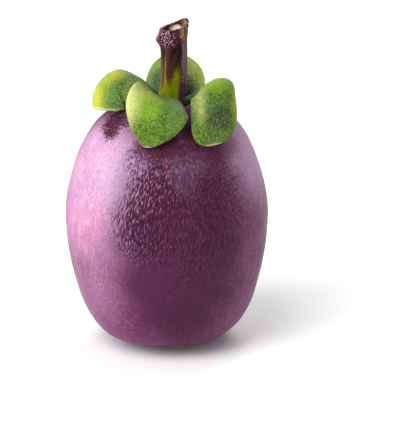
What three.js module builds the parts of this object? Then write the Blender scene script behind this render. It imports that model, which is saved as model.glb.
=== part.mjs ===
// Mangosteen: one ripe fruit standing on its flower end, with its stem and sepals on top.
// Millimetres, +Z up. The origin is the middle of the flat spot that the fruit rests on.
import * as THREE from 'three';
import { mergeVertices } from 'three/addons/utils/BufferGeometryUtils.js';

// Driving dimensions of the fruit: a round profile that is fuller below its widest height than above it.
const FRUIT_RADIUS = 29.8;
const FRUIT_BOTTOM = 1.0;
const FRUIT_WIDEST = 38.3;
const FRUIT_TOP = 71.0;
const LOWER_SHAPE = { radial: 5.2, axial: 1.5 };
const UPPER_SHAPE = { radial: 4.0, axial: 1.25 };
const WIDEST_ROUNDING = 4.0;
// Slow bulges round the fruit: how many round it, how high in mm, and where they start in degrees.
const FRUIT_BULGES = [
  { count: 2, height: 0.22, start: 40 },
  { count: 3, height: 0.16, start: 155 },
  { count: 5, height: 0.07, start: 20 },
];
const FRUIT_SIDES = 48;
const FRUIT_RINGS = 28;

// Driving dimensions of the woody stigma rosette that the fruit stands on.
const ROSETTE_LOBES = 7;
const ROSETTE_RADIUS = 7.6;
const ROSETTE_NOTCH = 1.5;
const ROSETTE_THICKNESS = 1.0;
const ROSETTE_SEAT_RADIUS = 9.2;
const SIDES_PER_LOBE = 8;
const FIT_GAP = 0.3;

// Driving dimensions of the stem, which leans and is cut on a slant with a hollow end.
const STEM_RADIUS = 4.05;
const STEM_FURROW = 0.15;
const STEM_BASE = { x: 2.05, y: 0 };
const STEM_LEAN = 0.3 / 24;
const STEM_CUT = { height: 92.9, slopeX: 0.18, slopeY: 0.07 };
const STEM_FLANGE = { radius: 4.5, straight: 2.0, height: 6.0 };
const STEM_COLLAR = { swell: 0.12, height: 4.8 };
const STEM_HOLLOW = { radius: 2.7, depth: 2.6 };
const STEM_LIP = { rise: 1.35, angle: 35, width: 45 };
const STEM_KNOB = { reach: 1.2, angle: 188, width: 26, below: 2.5, tall: 1.7 };
const STEM_RIDGES = [
  { angle: 246, height: 0.3, width: 13 },
  { angle: 318, height: 0.4, width: 15 },
  { angle: 72, height: 0.3, width: 16 },
  { angle: 150, height: 0.25, width: 18 },
];
const STEM_SIDES = 32;
const STEM_RINGS = 11;

// Driving dimensions that the sepals share. They stand round the crown's centre, just beside the stem's own.
const CROWN = { x: 1.4, y: 0 };
const SEPAL_THICKNESS = 2.5;
const SEPAL_BASE = { reach: 5.8, height: 2.0 };
const SEPAL_RIM = 0.9;
const SEPAL_WRAP = THREE.MathUtils.degToRad(98);
const SEPAL_LIFT_SPREAD = { along: 0.24, side: 0.55 };
const SEPAL_ROWS = 18;
const SEPAL_COLUMNS = 12;
// Where the midline passes between its neck and its crest, and between its crest and its tip, as shares.
const MIDLINE_RISE = { reach: 0.36, height: 0.6 };
const MIDLINE_FALL = 0.42;
// Each sepal rises from the stem, turns over at its crest and hangs down to its tip. Reach is from the
// crown's centre and height above the fruit's top, both in mm. Facing, twist, sweep and roll are in degrees.
// Pairs give the clockwise side and the counterclockwise side of the midline.
const SEPALS = [
  {
    name: 'sepal_left', facing: 173, twist: 13, sweep: 0, roll: -6,
    crest: { reach: 15.6, height: 8.2 }, tip: { reach: 22.4, height: -1 }, fall: 0.7,
    neck: [4, 2.8], halfWidth: [6.5, 7.6], depth: [1, 1],
    spread: 0.55, rimFall: 2.1, tipShape: 3.4, tipPoint: 0.6,
    lift: { height: -1.8, along: 0.75, side: 0.8 },
  },
  {
    name: 'sepal_front', facing: -115, twist: 13, sweep: -14, roll: -12,
    crest: { reach: 17.5, height: 3.7 }, tip: { reach: 23.7, height: -7.3 }, fall: 0.65,
    neck: [3, 2.6], halfWidth: [6, 10.8], depth: [0.5, 0.45],
    spread: 0.6, rimFall: 3.6, tipShape: 2.1, tipPoint: 0.65,
    lift: { height: 4.5, along: 0.3, side: -0.8 },
  },
  {
    name: 'sepal_right', facing: -30, twist: -24, sweep: -14, roll: 15,
    crest: { reach: 17.2, height: 7.9 }, tip: { reach: 22.8, height: -7.6 }, fall: 0.55,
    neck: [1.6, 4.2], halfWidth: [7.5, 7.1], depth: [0.3, 1],
    spread: 0.6, rimFall: 2, tipShape: 5.9, tipPoint: 0.45,
    lift: { height: -1.4, along: 0.2, side: -0.2 },
  },
  {
    name: 'sepal_back', facing: 76, twist: 16, sweep: -14, roll: 9,
    crest: { reach: 17.2, height: 9.6 }, tip: { reach: 25.6, height: -8 }, fall: 0.85,
    neck: [5, 4.4], halfWidth: [8.6, 7.3], depth: [0.7, 0.8],
    spread: 0.55, rimFall: 1.2, tipShape: 2.1, tipPoint: 0.45,
    lift: { height: 0, along: 0.5, side: 0 },
  },
];

const TAU = 2 * Math.PI;
const { clamp, degToRad, euclideanModulo, lerp, radToDeg, smoothstep } = THREE.MathUtils;

// ---- Small helpers ----------------------------------------------------------------------------------

function finish(color, roughness) {
  return new THREE.MeshStandardMaterial({ color, roughness, metalness: 0 });
}

// The positive part of a number, raised to a power.
function rise(value, power) {
  return Math.pow(Math.max(0, value), power);
}

// A smooth bump of height 1 round one direction, in degrees, that fades to 0 with the given width.
function bumpRound(angle, centre, width) {
  const away = euclideanModulo(radToDeg(angle) - centre + 180, 360) - 180;
  return Math.exp(-((away / width) ** 2));
}

// Turns lists of points and triangles into a closed geometry with its shared corners merged.
function closedGeometry(points, triangles) {
  const geometry = new THREE.BufferGeometry().setFromPoints(points);
  geometry.setIndex(triangles.flat());
  const merged = mergeVertices(geometry, 1e-4);
  merged.computeVertexNormals();
  return merged;
}

// Skins a stack of equal rings, listed from the outside bottom upwards, and closes both ends with a fan.
function skinRings(rings) {
  const sides = rings[0].length;
  const points = rings.flat();
  const triangles = [];
  for (let ring = 0; ring < rings.length - 1; ring += 1) {
    for (let side = 0; side < sides; side += 1) {
      const next = (side + 1) % sides;
      const [a, b] = [ring * sides + side, ring * sides + next];
      const [c, d] = [a + sides, b + sides];
      triangles.push([a, b, d], [a, d, c]);
    }
  }
  for (const [ring, first] of [[rings[0], 0], [rings.at(-1), points.length - sides]]) {
    const centre = new THREE.Vector3();
    ring.forEach((point) => centre.addScaledVector(point, 1 / sides));
    const middle = points.push(centre) - 1;
    for (let side = 0; side < sides; side += 1) {
      const [a, b] = [first + side, first + ((side + 1) % sides)];
      triangles.push(first === 0 ? [b, a, middle] : [a, b, middle]);
    }
  }
  return closedGeometry(points, triangles);
}

// ---- Fruit ------------------------------------------------------------------------------------------

// The fruit's radius at a height: the profile's power law, rounded off where its two halves meet.
function fruitRadius(height) {
  const upper = height > FRUIT_WIDEST;
  const { radial, axial } = upper ? UPPER_SHAPE : LOWER_SHAPE;
  const reach = upper ? FRUIT_TOP - FRUIT_WIDEST : FRUIT_WIDEST - FRUIT_BOTTOM;
  const rounded = (away) => Math.hypot(away, WIDEST_ROUNDING) ** axial - WIDEST_ROUNDING ** axial;
  return FRUIT_RADIUS * rise(1 - rounded(height - FRUIT_WIDEST) / rounded(reach), 1 / radial);
}

// The profile from the bottom to the top, as points with even spacing along the curve.
function fruitProfile() {
  const fineSteps = 400;
  const outline = Array.from({ length: fineSteps + 1 }, (_, step) => {
    const share = (1 - Math.cos((Math.PI * step) / fineSteps)) / 2;
    const height = FRUIT_BOTTOM + (FRUIT_TOP - FRUIT_BOTTOM) * share;
    return new THREE.Vector2(fruitRadius(height), height);
  });
  return new THREE.SplineCurve(outline).getSpacedPoints(FRUIT_RINGS);
}

function fruitBulge(angle) {
  const wave = ({ count, height, start }) => height * Math.cos(count * (angle - degToRad(start)));
  return FRUIT_BULGES.reduce((sum, bulge) => sum + wave(bulge), 0);
}

function fruitBody() {
  const rings = fruitProfile().slice(1, -1).map(({ x: radius, y: height }) => {
    const seat = FIT_GAP * (1 - smoothstep(radius, ROSETTE_SEAT_RADIUS, ROSETTE_SEAT_RADIUS + 2));
    const lift = height < FRUIT_WIDEST ? seat : 0;
    return Array.from({ length: FRUIT_SIDES }, (_, side) => {
      const angle = (TAU * side) / FRUIT_SIDES;
      const full = radius + (fruitBulge(angle) * radius) / FRUIT_RADIUS;
      return new THREE.Vector3(full * Math.cos(angle), full * Math.sin(angle), height + lift);
    });
  });
  return new THREE.Mesh(skinRings(rings), finish('#8d5f8f', 0.5));
}

// ---- Stigma rosette ---------------------------------------------------------------------------------

// One closed outline of the rosette: rounded lobes with narrow notches between them.
function rosetteRing(scale, height) {
  const sides = ROSETTE_LOBES * SIDES_PER_LOBE;
  return Array.from({ length: sides }, (_, side) => {
    const angle = (TAU * side) / sides;
    const notch = 1 - Math.abs(Math.sin((ROSETTE_LOBES * angle) / 2)) ** 0.6;
    const radius = (ROSETTE_RADIUS - ROSETTE_NOTCH * notch) * scale;
    return new THREE.Vector3(radius * Math.cos(angle), radius * Math.sin(angle), height);
  });
}

function stigmaRosette() {
  const rings = [
    rosetteRing(0.5, 0),
    rosetteRing(0.94, 0),
    rosetteRing(1, 0.3 * ROSETTE_THICKNESS),
    rosetteRing(0.98, 0.75 * ROSETTE_THICKNESS),
    rosetteRing(0.9, ROSETTE_THICKNESS),
    rosetteRing(0.45, ROSETTE_THICKNESS),
  ];
  return new THREE.Mesh(skinRings(rings), finish('#5b4334', 0.8));
}

// ---- Stem -------------------------------------------------------------------------------------------

// The height of the slanted cut at a place on the stem, with its raised lip.
function cutHeight(x, y, angle) {
  const slant = STEM_CUT.height + STEM_CUT.slopeX * (x - STEM_BASE.x) + STEM_CUT.slopeY * y;
  return slant + STEM_LIP.rise * bumpRound(angle, STEM_LIP.angle, STEM_LIP.width);
}

// The stem's radius: ridged bark, a flange at its foot, and a swollen collar and a knob below the cut.
function stemRadius(angle, aboveFoot, belowCut) {
  const ridges = STEM_RIDGES.map(({ angle: at, height, width }) => height * bumpRound(angle, at, width));
  const bark = ridges.reduce((sum, ridge) => sum + ridge, STEM_RADIUS - STEM_FURROW);
  const nearFoot = 1 - smoothstep(aboveFoot, STEM_FLANGE.straight, STEM_FLANGE.height);
  const nearCut = 1 - smoothstep(belowCut, STEM_COLLAR.height - 2, STEM_COLLAR.height);
  const nearKnob = Math.exp(-(((belowCut - STEM_KNOB.below) / STEM_KNOB.tall) ** 2));
  const knob = STEM_KNOB.reach * bumpRound(angle, STEM_KNOB.angle, STEM_KNOB.width) * nearKnob;
  return bark + (STEM_FLANGE.radius - STEM_RADIUS) * nearFoot + STEM_COLLAR.swell * nearCut + knob;
}

function stemRing(place) {
  return Array.from({ length: STEM_SIDES }, (_, side) => place((TAU * side) / STEM_SIDES));
}

function stemPoint(radius, angle, height) {
  const centreX = STEM_BASE.x + STEM_LEAN * (height - FRUIT_TOP);
  return new THREE.Vector3(centreX + radius * Math.cos(angle), STEM_BASE.y + radius * Math.sin(angle), height);
}

function stem() {
  const foot = FRUIT_TOP + FIT_GAP;
  const topAt = (angle, radius) => {
    const middle = STEM_BASE.x + STEM_LEAN * (STEM_CUT.height - FRUIT_TOP);
    return cutHeight(middle + radius * Math.cos(angle), radius * Math.sin(angle), angle);
  };
  const wall = Array.from({ length: STEM_RINGS + 1 }, (_, step) => {
    const share = 1 - (1 - step / STEM_RINGS) ** 1.25;
    return stemRing((angle) => {
      const top = topAt(angle, STEM_RADIUS);
      const height = foot + (top - foot) * share;
      return stemPoint(stemRadius(angle, height - foot, top - height), angle, height);
    });
  });
  const end = [
    { radius: STEM_RADIUS - 0.2, drop: -0.25 },
    { radius: STEM_HOLLOW.radius + 0.4, drop: 0 },
    { radius: STEM_HOLLOW.radius, drop: 0.6 * STEM_HOLLOW.depth },
    { radius: 0.5 * STEM_HOLLOW.radius, drop: STEM_HOLLOW.depth },
  ].map(({ radius, drop }) => stemRing((angle) => stemPoint(radius, angle, topAt(angle, radius) - drop)));
  return new THREE.Mesh(skinRings([...wall, ...end]), finish('#5f4238', 0.75));
}

// ---- Sepals -----------------------------------------------------------------------------------------

// The line along a sepal's middle, from its neck over the crest to its tip, as reach and height.
function sepalMidline({ crest, tip, fall }) {
  const { reach, height } = SEPAL_BASE;
  const nodes = [
    [reach, height],
    [lerp(reach, crest.reach, MIDLINE_RISE.reach), lerp(height, crest.height, MIDLINE_RISE.height)],
    [crest.reach, crest.height],
    [lerp(crest.reach, tip.reach, fall), lerp(crest.height, tip.height, MIDLINE_FALL)],
    [tip.reach, tip.height],
  ].map(([out, up]) => new THREE.Vector3(out, 0, up));
  return new THREE.CatmullRomCurve3(nodes, false, 'catmullrom', 0.5);
}

// The compass direction of the midline at a share of its length, in radians.
function sepalFacing(sepal, along) {
  return degToRad(sepal.facing + sepal.twist * along + sepal.sweep * rise(along - 0.45, 2));
}

function midlinePoint(sepal, midline, along) {
  const { x: reach, z: height } = midline.getPoint(clamp(along, 0, 1));
  const angle = sepalFacing(sepal, along);
  const [x, y] = [CROWN.x + reach * Math.cos(angle), CROWN.y + reach * Math.sin(angle)];
  return new THREE.Vector3(x, y, FRUIT_TOP + height);
}

// The direction straight out of the sepal's upper face at a share of its length.
function upperFaceDirection(sepal, midline, along) {
  const step = 0.01;
  const forward = midlinePoint(sepal, midline, Math.min(1, along + step));
  forward.sub(midlinePoint(sepal, midline, Math.max(0, along - step)));
  const angle = sepalFacing(sepal, along);
  return forward.cross(new THREE.Vector3(-Math.sin(angle), Math.cos(angle), 0)).normalize();
}

// The middle, the sideways direction and the outward direction of one cross section. The outward direction
// turns only half as fast as the midline does, so that the hood's sides never fold through each other.
function sepalSection(sepal, midline, along) {
  const angle = sepalFacing(sepal, along);
  const out = upperFaceDirection(sepal, midline, along);
  out.add(upperFaceDirection(sepal, midline, 0.55)).normalize();
  const across = new THREE.Vector3(-Math.sin(angle), Math.cos(angle), 0);
  across.addScaledVector(out, -across.dot(out)).normalize();
  const roll = degToRad(sepal.roll) * smoothstep(along, 0.05, 0.45);
  const rolled = across.clone().multiplyScalar(Math.cos(roll)).addScaledVector(out, Math.sin(roll));
  out.multiplyScalar(Math.cos(roll)).addScaledVector(across, -Math.sin(roll));
  return { middle: midlinePoint(sepal, midline, along), across: rolled, out };
}

// A value that changes smoothly from the sepal's clockwise side to its counterclockwise side.
function betweenSides([clockwise, counterclockwise], sine) {
  return clockwise + (counterclockwise - clockwise) * (0.5 + 0.5 * sine);
}

function sepalHalfWidth(sepal, along, sine) {
  const neckToBlade = Math.sin((clamp(along / sepal.spread, 0, 1) * Math.PI) / 2) ** 1.2;
  const neck = betweenSides(sepal.neck, sine);
  const width = neck + (betweenSides(sepal.halfWidth, sine) - neck) * neckToBlade;
  return width * rise(1 - rise((along - 0.5) / 0.5, sepal.tipShape), sepal.tipPoint);
}

// 1 along the blade, and 0 at the very tip, where both margins meet.
function nearTip(along) {
  return rise(1 - along ** 14, 0.5);
}

// How far the sides hang below the midline, so that the rim follows the fruit from the neck to the tip.
function sepalHood(sepal, along, height, sine) {
  const rim = SEPAL_RIM + (sepal.tip.height - SEPAL_RIM) * along ** sepal.rimFall;
  const hang = (Math.max(0, height - rim) / (1 - Math.cos(SEPAL_WRAP))) * betweenSides(sepal.depth, sine);
  return hang * nearTip(along);
}

// A curl or a droop of part of the blade: its height, centred at a share along the sepal and across it.
function sepalLift({ lift }, along, side) {
  const away = Math.hypot(
    (along - lift.along) / SEPAL_LIFT_SPREAD.along,
    (side - lift.side) / SEPAL_LIFT_SPREAD.side,
  );
  return lift.height * Math.exp(-(away ** 2)) * nearTip(along);
}

// Half the sepal's thickness, which thins towards the margin and rounds off to nothing there.
function sepalHalfThickness(along, side) {
  const outer = rise((along - 0.5) / 0.5, 1);
  const margin = (1 - 0.45 * Math.abs(side) ** 2.5) * rise(1 - Math.abs(side) ** 12, 0.5);
  const tip = (1 - 0.45 * outer ** 2.5) * rise(1 - outer ** 12, 0.5);
  const neck = rise(1 - rise((0.08 - along) / 0.08, 2), 0.5);
  return (SEPAL_THICKNESS / 2) * margin * tip * neck;
}

// Bends a point of the sepal's base round the stem. Beyond half the sepal's length nothing is bent.
function bendRoundStem(point, angle, reach, along) {
  const share = 1 - smoothstep(along, 0, 0.5);
  const [dx, dy] = [point.x - CROWN.x, point.y - CROWN.y];
  const out = dx * Math.cos(angle) + dy * Math.sin(angle);
  const sideways = dy * Math.cos(angle) - dx * Math.sin(angle);
  const turn = sideways / Math.max(reach, 4);
  const bentOut = lerp(out, out * Math.cos(turn), share);
  const bentSideways = lerp(sideways, out * Math.sin(turn), share);
  const x = CROWN.x + bentOut * Math.cos(angle) - bentSideways * Math.sin(angle);
  const y = CROWN.y + bentOut * Math.sin(angle) + bentSideways * Math.cos(angle);
  return new THREE.Vector3(x, y, point.z);
}

// One row of points across the sepal, on its upper face (+1) or its lower face (-1).
function sepalRow(sepal, midline, along, sides, face) {
  const { middle, across, out } = sepalSection(sepal, midline, along);
  const { x: reach, z: height } = midline.getPoint(along);
  const angle = sepalFacing(sepal, along);
  return sides.map((side) => {
    const [sine, cosine] = [Math.sin(side * SEPAL_WRAP), Math.cos(side * SEPAL_WRAP)];
    const width = sepalHalfWidth(sepal, along, sine);
    const hood = sepalHood(sepal, along, height, sine);
    const [normalX, normalY] = [hood * sine, width * cosine + 0.3];
    const offset = (face * sepalHalfThickness(along, side)) / Math.hypot(normalX, normalY);
    const x = width * sine + offset * normalX;
    const y = sepalLift(sepal, along, side) - hood * (1 - cosine) + offset * normalY;
    const point = middle.clone().addScaledVector(across, x).addScaledVector(out, y);
    return bendRoundStem(point, angle, reach, along);
  });
}

function sepalMesh(sepal) {
  const midline = sepalMidline(sepal);
  const crowd = (share) => 1 - (1 - share) ** 1.4;
  const sides = Array.from({ length: SEPAL_COLUMNS + 1 }, (_, column) => {
    const share = (2 * column) / SEPAL_COLUMNS - 1;
    return Math.sign(share) * crowd(Math.abs(share));
  });
  const points = [];
  const triangles = [];
  for (const face of [1, -1]) {
    const first = points.length;
    for (let row = 0; row <= SEPAL_ROWS; row += 1) {
      points.push(...sepalRow(sepal, midline, crowd(row / SEPAL_ROWS), sides, face));
    }
    for (let row = 0; row < SEPAL_ROWS; row += 1) {
      for (let column = 0; column < SEPAL_COLUMNS; column += 1) {
        const a = first + row * sides.length + column;
        const [b, c, d] = [a + sides.length, a + sides.length + 1, a + 1];
        const pair = row === SEPAL_ROWS - 1 ? [[a, b, d]] : [[a, b, c], [a, c, d]];
        triangles.push(...pair.map(([p, q, r]) => (face === 1 ? [p, q, r] : [p, r, q])));
      }
    }
  }
  const mesh = new THREE.Mesh(closedGeometry(points, triangles), finish('#86ad3e', 0.7));
  mesh.name = sepal.name;
  return mesh;
}

// ---- The whole fruit --------------------------------------------------------------------------------

function named(mesh, name) {
  mesh.name = name;
  return mesh;
}

const group = new THREE.Group();
group.add(named(fruitBody(), 'fruit_body'));
group.add(named(stigmaRosette(), 'stigma_rosette'));
group.add(named(stem(), 'stem'));
group.add(...SEPALS.map(sepalMesh));

export default group;
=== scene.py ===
"""Mangosteen: the finished looks of one ripe fruit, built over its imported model.

Shapes and finishes are worked out in millimetres, and every mesh is scaled to metres when it is made.
"""

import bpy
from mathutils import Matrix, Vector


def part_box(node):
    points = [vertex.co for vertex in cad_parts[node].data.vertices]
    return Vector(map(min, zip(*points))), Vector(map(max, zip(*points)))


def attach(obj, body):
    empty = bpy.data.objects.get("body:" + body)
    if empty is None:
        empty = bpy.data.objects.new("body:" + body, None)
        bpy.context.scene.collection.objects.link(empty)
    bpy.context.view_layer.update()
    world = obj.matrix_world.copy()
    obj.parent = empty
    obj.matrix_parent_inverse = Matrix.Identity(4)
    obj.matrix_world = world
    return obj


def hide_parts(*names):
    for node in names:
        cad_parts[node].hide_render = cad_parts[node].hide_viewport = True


bl_info = {
    "name": "Mangosteen",
    "version": (1, 0, 0),
    "blender": (4, 5, 0),
    "location": "3D View > Sidebar > Mangosteen",
    "description": "Builds a ripe mangosteen with its rind, sepals, stem and stigma rosette",
    "category": "Add Mesh",
}

import math
from types import SimpleNamespace
from typing import NamedTuple

import bmesh
import bpy
import numpy as np
from bpy.props import FloatProperty, FloatVectorProperty, IntProperty, PointerProperty
from mathutils import Vector, noise

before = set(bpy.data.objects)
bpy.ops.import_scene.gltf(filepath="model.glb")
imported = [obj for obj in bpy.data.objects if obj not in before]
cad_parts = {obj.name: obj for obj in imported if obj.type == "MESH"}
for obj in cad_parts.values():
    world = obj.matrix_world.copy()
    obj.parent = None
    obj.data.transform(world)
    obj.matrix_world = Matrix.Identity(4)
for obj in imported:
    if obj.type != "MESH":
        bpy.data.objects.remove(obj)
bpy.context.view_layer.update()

MM = 0.001
FRUIT_LOW, FRUIT_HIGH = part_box("fruit_body")
FRUIT_RADIUS = (FRUIT_HIGH[0] - FRUIT_LOW[0] + FRUIT_HIGH[1] - FRUIT_LOW[1]) / 4
ROSETTE_LOW, ROSETTE_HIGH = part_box("stigma_rosette")
STEM_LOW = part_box("stem")[0]


# ---- Settings ----


def length(name, description, metres):
    return FloatProperty(name=name, description=description, default=metres, min=0.0, unit="LENGTH")


def colour(name, description, red, green, blue):
    return FloatVectorProperty(
        name=name, description=description, default=(red, green, blue), subtype="COLOR", min=0.0, max=1.0
    )


class FruitSettings(bpy.types.PropertyGroup):
    """Sizes and colours of the fruit's rind"""

    radius: length("Radius", "Widest radius of the fruit", FRUIT_RADIUS)
    bottom: length("Bottom", "Height of the fruit's underside", ROSETTE_HIGH[2])
    top: length("Top", "Height of the fruit's crown", FRUIT_HIGH[2])
    pit_size: length("Pit size", "Width of the fine slanting pits in the rind", 0.28 * MM)
    mauve: colour("Mauve", "Main colour of the rind", 0.16, 0.038, 0.105)
    plum: colour("Plum", "Dark colour of the pitted rind", 0.048, 0.003, 0.026)
    # The bloom colour is also the painted sheen on the left flank and the right shoulder.
    bloom: colour("Bloom", "Pale waxy bloom on the rind", 0.60, 0.37, 0.53)
    maroon: colour("Maroon", "Redder patches of the pitted rind", 0.052, 0.003, 0.014)


class RosetteSettings(bpy.types.PropertyGroup):
    """Sizes and colours of the stigma rosette"""

    lobes: IntProperty(name="Lobes", description="Number of woody lobes", default=7, min=4, max=9)
    radius: length("Radius", "Outer radius of the rosette", 7.6 * MM)
    notch: length("Notch", "Depth of the notches between lobes", 1.5 * MM)
    wood: colour("Wood", "Dry woody brown", 0.15, 0.085, 0.05)


class StemSettings(bpy.types.PropertyGroup):
    """Sizes and colours of the stem"""

    radius: length("Radius", "Radius of the bark", 4.05 * MM)
    cut_height: length("Cut height", "Height of the middle of the slanted cut", 92.9 * MM)
    bark: colour("Bark", "Purple-brown bark", 0.012, 0.004, 0.005)
    tan: colour("Tan", "Worn streaks in the bark", 0.34, 0.22, 0.045)
    olive: colour("Olive", "Green skin at the foot", 0.37, 0.40, 0.006)
    cream: colour("Cream", "Fresh wood inside the cut", 0.75, 0.66, 0.48)


class SepalSettings(bpy.types.PropertyGroup):
    """Sizes and colours of the sepals"""

    thickness: length("Thickness", "Thickness of the fleshy blade", 2.5 * MM)
    green: colour("Green", "Main green of the upper face", 0.060, 0.135, 0.004)
    deep: colour("Deep green", "Dark green of the mottling and the underside", 0.015, 0.046, 0.006)
    yellow: colour("Yellow", "Yellow-green near the margins", 0.40, 0.46, 0.03)
    cream: colour("Cream", "Pale thin margin", 0.56, 0.53, 0.27)


class StageSettings(bpy.types.PropertyGroup):
    """Camera and light"""

    elevation: FloatProperty(
        name="Elevation",
        description="Camera angle above the horizon",
        default=math.radians(17),
        subtype="ANGLE",
    )
    distance: length("Distance", "Camera distance from its target", 520 * MM)
    key_power: FloatProperty(
        name="Key power", description="Power of the side soft box", default=6.0, unit="POWER"
    )
    floor: colour("Floor", "Colour of the plain floor", 0.93, 0.93, 0.93)


# ---- Shape helpers ----


def rise(value, power):
    """The positive part of a value, raised to a power."""
    return np.maximum(0.0, value) ** power


def ramp(value, low, high):
    """A smooth step from 0 at low to 1 at high."""
    share = np.clip((value - low) / (high - low), 0.0, 1.0)
    return share * share * (3.0 - 2.0 * share)


def bump_round(degrees, centre, width):
    """A smooth bump of height 1 round one direction, which fades with the given width, in degrees."""
    away = (degrees - centre + 180.0) % 360.0 - 180.0
    return np.exp(-((away / width) ** 2))


def circle(sides):
    """Evenly spaced directions round a full circle, in radians."""
    return np.linspace(0, 2 * math.pi, sides, endpoint=False)


def relief(points, size, octaves=2, upright=1.0):
    """Smooth random relief between about -1 and 1 at each point.

    Its features have the given size in mm, and are drawn out along the height where upright is below 1.
    """
    flat = (points.reshape(-1, 3) * (1.0, 1.0, upright)) / size
    values = [noise.fractal(Vector(point), 1.0, 2.0, octaves) for point in flat]
    return np.array(values).reshape(points.shape[:-1])


def unit(vectors):
    return vectors / np.linalg.norm(vectors, axis=-1, keepdims=True)


def ring_faces(rings, sides):
    """Quads between stacked rings, and a fan at each end round the last two vertices."""
    faces = []
    for ring in range(rings - 1):
        for side in range(sides):
            start, after = ring * sides + side, ring * sides + (side + 1) % sides
            faces.append((start, after, after + sides, start + sides))
    bottom, top, last = rings * sides, rings * sides + 1, (rings - 1) * sides
    for side in range(sides):
        after = (side + 1) % sides
        faces.append((after, side, bottom))
        faces.append((last + side, last + after, top))
    return faces


def close_rings(grid):
    """The grid's points with one more at the middle of each end ring."""
    ends = [grid[0].mean(axis=0), grid[-1].mean(axis=0)]
    return np.vstack([grid.reshape(-1, 3), ends])


def add_object(name, data):
    """Adds an object to the scene."""
    added = bpy.data.objects.new(name, data)
    bpy.context.scene.collection.objects.link(added)
    return added


def make_piece(name, node, material, points, faces, fields=None):
    """Makes one mesh piece from points in mm, which rides on the root and hides its CAD node."""
    mesh = bpy.data.meshes.new(name)
    mesh.from_pydata((points * MM).tolist(), [], faces)
    mesh.validate()
    mesh.polygons.foreach_set("use_smooth", np.ones(len(mesh.polygons), dtype=bool))
    for field, values in (fields or {}).items():
        attribute = mesh.attributes.new(field, "FLOAT", "POINT")
        attribute.data.foreach_set("value", np.asarray(values, dtype=np.float32).ravel())
    mesh.materials.append(material)
    mesh.update()
    piece = add_object(name, mesh)
    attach(piece, "root")
    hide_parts(node)
    return piece


def make_ringed_piece(name, node, material, grid, fields=None):
    """Makes a piece from stacked rings of points, closed at both ends. A field has one value per point."""
    closed = {field: np.append(values, values[[0, -1], 0]) for field, values in (fields or {}).items()}
    return make_piece(name, node, material, close_rings(grid), ring_faces(*grid.shape[:2]), closed)


# ---- Shader helpers ----


class Patch(NamedTuple):
    """A soft patch on a surface. Its centre, half sizes and the grain of its ragged edge are in mm."""

    centre: tuple
    size: tuple
    edge: float
    wobble: float
    grain: float
    weight: float = 1.0


class Layer(NamedTuple):
    """A colour laid over some patches, where cover says how much of it hides what lies below."""

    colour: tuple
    cover: float
    patches: tuple


class Field:
    """A number that changes over a surface. Arithmetic on it adds Math nodes."""

    def __init__(self, shader, socket):
        self.shader = shader
        self.socket = socket

    def __add__(self, other):
        return self.shader.numbers("ADD", self, other)

    __radd__ = __add__

    def __sub__(self, other):
        return self.shader.numbers("SUBTRACT", self, other)

    def __rsub__(self, other):
        return self.shader.numbers("SUBTRACT", other, self)

    def __mul__(self, other):
        return self.shader.numbers("MULTIPLY", self, other)

    __rmul__ = __mul__


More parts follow.
